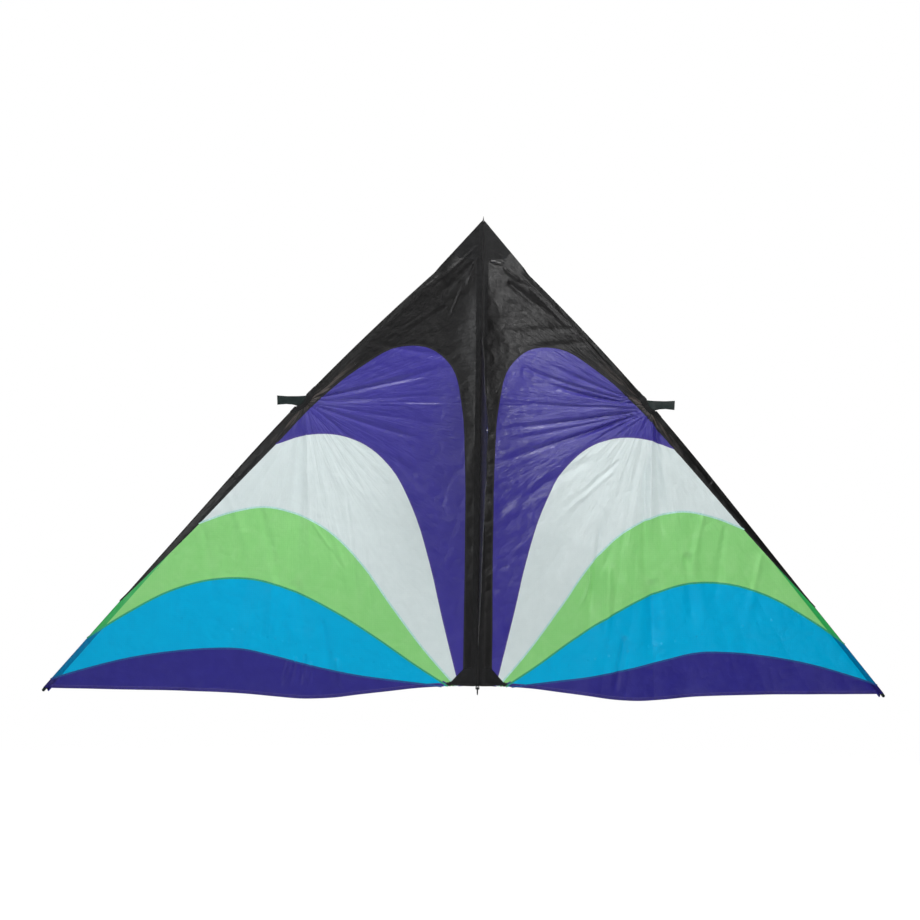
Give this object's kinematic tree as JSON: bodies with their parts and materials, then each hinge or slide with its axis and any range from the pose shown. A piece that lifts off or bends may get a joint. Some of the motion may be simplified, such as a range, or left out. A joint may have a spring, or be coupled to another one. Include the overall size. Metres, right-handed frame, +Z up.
{
  "type": "delta kite",
  "caption": "Triangular single-line delta kite with nested arched colour panels, two folding wings, a front keel with a metal tow eyelet, sleeved rods and a joined spreader bar.",
  "frame": {"origin": "centre of the tow eyelet's hole, at the tip of the keel", "axes": "+X across the span to the right wing, seen from the keel side; +Z up the spine to the nose; -Y out of the keel side, so the wings lean back towards +Y"},
  "size_m": [2.1368, 0.536, 1.1761],
  "materials": {
    "black_ripstop": "smooth woven ripstop nylon with a soft sheen",
    "keel_cloth": "two layers of ripstop nylon",
    "purple_ripstop": "smooth woven ripstop nylon with a soft sheen",
    "white_ripstop": "smooth woven ripstop nylon with a soft sheen",
    "green_ripstop": "smooth woven ripstop nylon with a soft sheen",
    "blue_ripstop": "smooth woven ripstop nylon with a soft sheen",
    "violet_ripstop": "smooth woven ripstop nylon with a soft sheen",
    "black_tape": "stiff woven polyester tape",
    "cord": "braided cord",
    "fibreglass": "pultruded fibreglass rod",
    "vinyl": "flexible vinyl",
    "brass": "drawn brass tube",
    "nickel": "nickel plate"
  },
  "bodies": {
    "keel": {"keel_panel": "keel_cloth", "keel_tip_patch": "black_tape", "tow_eyelet": "nickel", "tow_eyelet_washer": "nickel"},
    "spine": {"spine_upper_rod": "fibreglass", "spine_lower_rod": "fibreglass", "spine_ferrule": "brass", "spine_sleeve": "black_ripstop", "centre_seam": "black_ripstop", "nose_cap": "vinyl", "tail_cap": "vinyl"},
    "tail_loop": {"tail_loop": "cord"},
    "left_wing": {"left_nose_panel": "black_ripstop", "left_edge_band": "black_ripstop", "left_centre_band": "black_ripstop", "left_purple_panel": "purple_ripstop", "left_white_panel": "white_ripstop", "left_green_panel": "green_ripstop", "left_blue_panel": "blue_ripstop", "left_violet_panel": "violet_ripstop", "left_nose_patch": "black_tape", "left_tail_patch": "black_tape", "left_notch_patch": "black_tape", "left_upper_sleeve": "black_ripstop", "left_lower_sleeve": "green_ripstop", "left_upper_spar": "fibreglass", "left_lower_spar": "fibreglass", "left_spar_ferrule": "brass", "left_tip_cap": "vinyl"},
    "right_wing": {"right_nose_panel": "black_ripstop", "right_edge_band": "black_ripstop", "right_centre_band": "black_ripstop", "right_purple_panel": "purple_ripstop", "right_white_panel": "white_ripstop", "right_green_panel": "green_ripstop", "right_blue_panel": "blue_ripstop", "right_violet_panel": "violet_ripstop", "right_nose_patch": "black_tape", "right_tail_patch": "black_tape", "right_notch_patch": "black_tape", "right_upper_sleeve": "black_ripstop", "right_lower_sleeve": "green_ripstop", "right_upper_spar": "fibreglass", "right_lower_spar": "fibreglass", "right_spar_ferrule": "brass", "right_tip_cap": "vinyl"},
    "left_spreader": {"left_connector": "vinyl", "left_spreader_rod": "fibreglass", "spreader_ferrule": "brass"},
    "right_spreader": {"right_connector": "vinyl", "right_spreader_rod": "fibreglass"}
  },
  "joints": [
    {"name": "keel_swing", "type": "hinge", "parent": "keel", "child": "spine", "pos_m": [0, 0.205, 0], "axis": [0, 0, 1], "range_deg": [-16, 16]},
    {"name": "left_wing_fold", "type": "hinge", "parent": "spine", "child": "left_wing", "pos_m": [0, 0.205, 0], "axis": [0, 0, 1], "range_deg": [0, 74]},
    {"name": "right_wing_fold", "type": "hinge", "parent": "spine", "child": "right_wing", "pos_m": [0, 0.205, 0], "axis": [0, 0, -1], "range_deg": [0, 74]},
    {"name": "left_spreader_swing", "type": "hinge", "parent": "left_wing", "child": "left_spreader", "pos_m": [-0.42837, 0.33459, 0.07041], "axis": [-0.6715, 0.1926, -0.7155], "range_deg": [0, 9.25]},
    {"name": "right_spreader_swing", "type": "hinge", "parent": "right_wing", "child": "right_spreader", "pos_m": [0.42837, 0.33459, 0.07041], "axis": [-0.6715, -0.1926, 0.7155], "range_deg": [0, 9.25]},
    {"name": "tail_loop_swing", "type": "hinge", "parent": "spine", "child": "tail_loop", "pos_m": [0, 0.2115, -0.6265], "axis": [0, 1, 0], "range_deg": [-60, 60]}
  ],
  "couplings": [
    {"joint": "right_wing_fold", "follows": "left_wing_fold", "ratio": 1},
    {"joint": "left_spreader_swing", "follows": "left_wing_fold", "ratio": 0.125},
    {"joint": "right_spreader_swing", "follows": "left_wing_fold", "ratio": 0.125}
  ]
}
